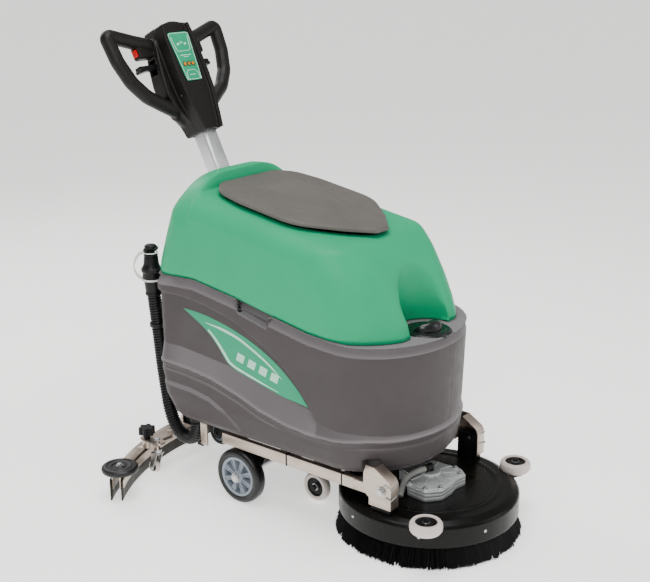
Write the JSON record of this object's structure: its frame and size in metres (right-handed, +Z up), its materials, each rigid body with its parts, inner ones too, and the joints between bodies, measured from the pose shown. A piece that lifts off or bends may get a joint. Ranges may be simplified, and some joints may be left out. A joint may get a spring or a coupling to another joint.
{
  "type": "walk-behind floor scrubber",
  "caption": "Walk-behind wet and dry floor scrubber: disc brush deck in front, two stacked plastic tanks, curved squeegee behind and a leaning T handle with loop grips.",
  "frame": {"origin": "on the floor, under the middle of the machine's overall box", "axes": "+X is the direction of travel, towards the brush; +Y is the machine's left; +Z is up"},
  "size_m": [1.1593, 0.858, 1.2207],
  "materials": {
    "stainless": "brushed",
    "zinc": "satin zinc plate",
    "frame_black": "satin",
    "tank_grey": "fine moulded texture",
    "tank_green": "smooth rotomoulded",
    "lid_grey": "speckled",
    "decal_green": "gloss film",
    "battery": "satin",
    "motor": "satin",
    "column_alu": "anodised",
    "console_black": "moulded",
    "grip_black": "moulded",
    "panel_green": "gloss film",
    "hose_black": "corrugated",
    "fitting_black": "moulded",
    "hose_grey": "soft vinyl",
    "tyre": "satin rubber",
    "rim_grey": "moulded",
    "roller": "off-white tread",
    "rubber_blade": "satin",
    "rubber_disc": "satin",
    "deck_black": "satin moulded",
    "cast_alu": "die cast",
    "bristle": "filament",
    "block": "moulded",
    "knob_black": "moulded",
    "button_red": "gloss",
    "cap_black": "satin gloss"
  },
  "bodies": {
    "chassis": {"rail_right": "stainless", "rail_left": "stainless", "chassis_frame": "frame_black", "deck_hanger_right": "stainless", "deck_hanger_left": "stainless", "pivot_bolts": "zinc", "wheel_axle": "zinc", "wheel_brackets": "frame_black", "solution_tank": "tank_grey", "side_decals": "decal_green", "batteries": "battery", "vacuum_motor": "motor", "handle_column": "column_alu", "console_housing": "console_black", "console_panel": "panel_green", "grip_right": "grip_black", "grip_left": "grip_black", "drain_hose": "hose_black", "hose_fittings": "fitting_black", "suction_hose": "hose_black"},
    "wheel_right": {"tyre_right": "tyre", "rim_right": "rim_grey"},
    "wheel_left": {"tyre_left": "tyre", "rim_left": "rim_grey"},
    "support_right": {"support_roller_right": "roller"},
    "support_left": {"support_roller_left": "roller"},
    "rear_wheel": {"rear_wheel": "rim_grey"},
    "drain_plug": {"drain_plug": "fitting_black"},
    "upper_tank": {"recovery_tank": "tank_green", "lid_hinge_pin": "zinc"},
    "lid": {"tank_lid": "lid_grey", "lid_seal": "rubber_disc"},
    "fill_cap": {"fill_cap": "cap_black"},
    "deck": {"deck_housing": "deck_black", "deck_brackets": "frame_black", "gearbox_lower": "cast_alu", "gearbox_cover": "cast_alu", "brush_motor": "motor", "solution_hose": "hose_grey"},
    "brush": {"brush_block": "block", "bristle_ring": "bristle"},
    "bumper_right": {"bumper_roller_right": "roller"},
    "bumper_left": {"bumper_roller_left": "roller"},
    "squeegee": {"squeegee_body": "stainless", "squeegee_blades": "rubber_blade", "blade_clamps": "stainless", "squeegee_beam": "stainless"},
    "disc_right": {"bumper_disc_right": "rubber_disc"},
    "disc_left": {"bumper_disc_left": "rubber_disc"},
    "sq_fork_right": {"sq_caster_fork_right": "zinc"},
    "sq_fork_left": {"sq_caster_fork_left": "zinc"},
    "sq_wheel_right": {"sq_caster_wheel_right": "roller"},
    "sq_wheel_left": {"sq_caster_wheel_left": "roller"},
    "knob_right": {"star_knob_right": "knob_black"},
    "knob_left": {"star_knob_left": "knob_black"},
    "button_right": {"power_button_right": "button_red"},
    "button_left": {"power_button_left": "knob_black"},
    "paddle_right": {"paddle_right": "knob_black"},
    "paddle_left": {"paddle_left": "knob_black"}
  },
  "joints": [
    {"name": "wheel_right_spin", "type": "hinge", "parent": "chassis", "child": "wheel_right", "pos_m": [-0.1214, -0.199, 0.075], "axis": [0, 1, 0], "continuous": true},
    {"name": "support_right_spin", "type": "hinge", "parent": "chassis", "child": "support_right", "pos_m": [0.0416, -0.079, 0.046], "axis": [0, 1, 0], "continuous": true},
    {"name": "bumper_right_spin", "type": "hinge", "parent": "deck", "child": "bumper_right", "pos_m": [0.4726, -0.208, 0.124], "axis": [0, 0, 1], "continuous": true},
    {"name": "disc_right_spin", "type": "hinge", "parent": "squeegee", "child": "disc_right", "pos_m": [-0.3964, -0.379, 0.081], "axis": [0, 0, 1], "continuous": true},
    {"name": "sq_caster_right_swivel", "type": "hinge", "parent": "squeegee", "child": "sq_fork_right", "pos_m": [-0.4154, -0.222, 0.07], "axis": [0, 0, 1], "continuous": true},
    {"name": "sq_caster_right_spin", "type": "hinge", "parent": "sq_fork_right", "child": "sq_wheel_right", "pos_m": [-0.4314, -0.222, 0.019], "axis": [0, 1, 0], "continuous": true},
    {"name": "star_knob_right_turn", "type": "hinge", "parent": "squeegee", "child": "knob_right", "pos_m": [-0.4644, -0.215, 0.11], "axis": [0, 0, 1], "continuous": true},
    {"name": "button_right_press", "type": "slide", "parent": "chassis", "child": "button_right", "axis": [0, 1, 0], "range_m": [0, 0.003], "stiffness_N_per_m": 400},
    {"name": "paddle_right_squeeze", "type": "hinge", "parent": "chassis", "child": "paddle_right", "pos_m": [-0.51822, -0.062, 1.10617], "axis": [-0.891, 0, -0.454], "range_deg": [0, 12], "stiffness_Nm_per_rad": 1.2, "springref_deg": -5.73},
    {"name": "wheel_left_spin", "type": "hinge", "parent": "chassis", "child": "wheel_left", "pos_m": [-0.1214, 0.199, 0.075], "axis": [0, 1, 0], "continuous": true},
    {"name": "support_left_spin", "type": "hinge", "parent": "chassis", "child": "support_left", "pos_m": [0.0416, 0.079, 0.046], "axis": [0, 1, 0], "continuous": true},
    {"name": "bumper_left_spin", "type": "hinge", "parent": "deck", "child": "bumper_left", "pos_m": [0.4726, 0.208, 0.124], "axis": [0, 0, 1], "continuous": true},
    {"name": "disc_left_spin", "type": "hinge", "parent": "squeegee", "child": "disc_left", "pos_m": [-0.3964, 0.379, 0.081], "axis": [0, 0, 1], "continuous": true},
    {"name": "sq_caster_left_swivel", "type": "hinge", "parent": "squeegee", "child": "sq_fork_left", "pos_m": [-0.4154, 0.222, 0.07], "axis": [0, 0, 1], "continuous": true},
    {"name": "sq_caster_left_spin", "type": "hinge", "parent": "sq_fork_left", "child": "sq_wheel_left", "pos_m": [-0.4314, 0.222, 0.019], "axis": [0, 1, 0], "continuous": true},
    {"name": "star_knob_left_turn", "type": "hinge", "parent": "squeegee", "child": "knob_left", "pos_m": [-0.4644, 0.215, 0.11], "axis": [0, 0, 1], "continuous": true},
    {"name": "button_left_press", "type": "slide", "parent": "chassis", "child": "button_left", "axis": [0, -1, 0], "range_m": [0, 0.003], "stiffness_N_per_m": 400},
    {"name": "paddle_left_squeeze", "type": "hinge", "parent": "chassis", "child": "paddle_left", "pos_m": [-0.51822, 0.062, 1.10617], "axis": [0.891, 0, 0.454], "range_deg": [0, 12], "stiffness_Nm_per_rad": 1.2, "springref_deg": -5.73},
    {"name": "rear_wheel_spin", "type": "hinge", "parent": "chassis", "child": "rear_wheel", "pos_m": [-0.3824, 0, 0.0575], "axis": [0, 1, 0], "continuous": true},
    {"name": "deck_float", "type": "hinge", "parent": "chassis", "child": "deck", "pos_m": [0.3456, 0, 0.175], "axis": [0, 1, 0], "range_deg": [-3, 3]},
    {"name": "brush_spin", "type": "hinge", "parent": "deck", "child": "brush", "pos_m": [0.3416, 0, 0.06], "axis": [0, 0, 1], "continuous": true},
    {"name": "squeegee_lift", "type": "hinge", "parent": "chassis", "child": "squeegee", "pos_m": [-0.3024, 0, 0.112], "axis": [0, 1, 0], "range_deg": [0, 12], "deforming": ["suction_hose"]},
    {"name": "upper_tank_lift", "type": "slide", "parent": "chassis", "child": "upper_tank", "axis": [0, 0, 1], "range_m": [0, 0.15]},
    {"name": "lid_open", "type": "hinge", "parent": "upper_tank", "child": "lid", "pos_m": [-0.2504, 0, 0.826], "axis": [0, -1, 0], "range_deg": [0, 80]},
    {"name": "fill_cap_lift", "type": "slide", "parent": "chassis", "child": "fill_cap", "axis": [0, 0, 1], "range_m": [0, 0.06]},
    {"name": "drain_plug_pull", "type": "slide", "parent": "chassis", "child": "drain_plug", "axis": [0, 0, 1], "range_m": [0, 0.03]}
  ]
}
